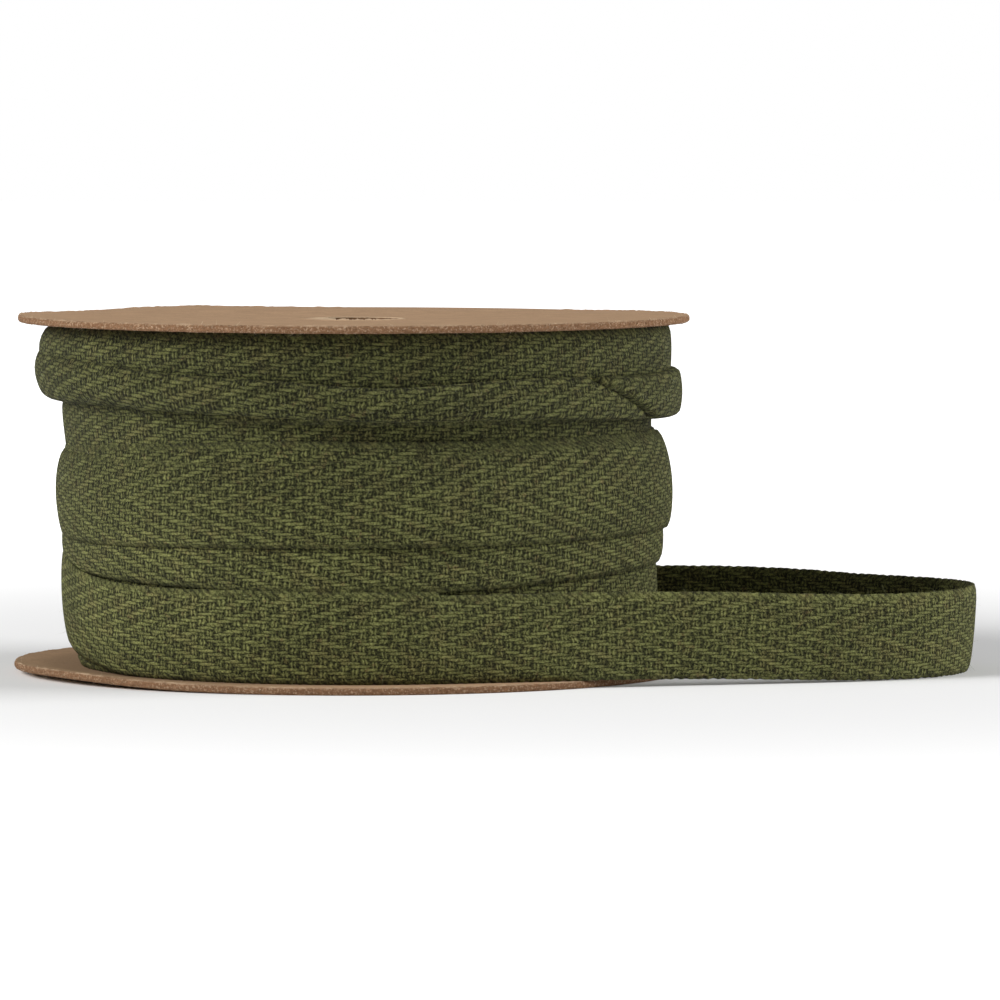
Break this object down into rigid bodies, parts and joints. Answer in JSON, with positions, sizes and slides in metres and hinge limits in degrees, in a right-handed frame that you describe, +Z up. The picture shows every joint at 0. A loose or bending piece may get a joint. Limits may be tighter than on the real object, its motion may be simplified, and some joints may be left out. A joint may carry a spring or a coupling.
{
  "type": "spool of cotton tape",
  "caption": "Narrow herringbone cotton tape wound between two round board cheeks, with the loose end looped out on its edge beside the spool.",
  "frame": {"origin": "middle of the footprint of spool and loop, on the surface that the spool stands on", "axes": "+Z up along the spool's axis, -Y the front from which the loop shows on the right, +X to the right, where the loop lies"},
  "size_m": [0.1084, 0.0782, 0.0399],
  "materials": {
    "board": "matt kraft board with fibrous punched edges",
    "tape": "olive green herringbone cotton tape"
  },
  "bodies": {
    "root": {"flange_bottom": "board", "flange_top": "board", "winding": "tape", "loose_tape": "tape"}
  },
  "joints": []
}
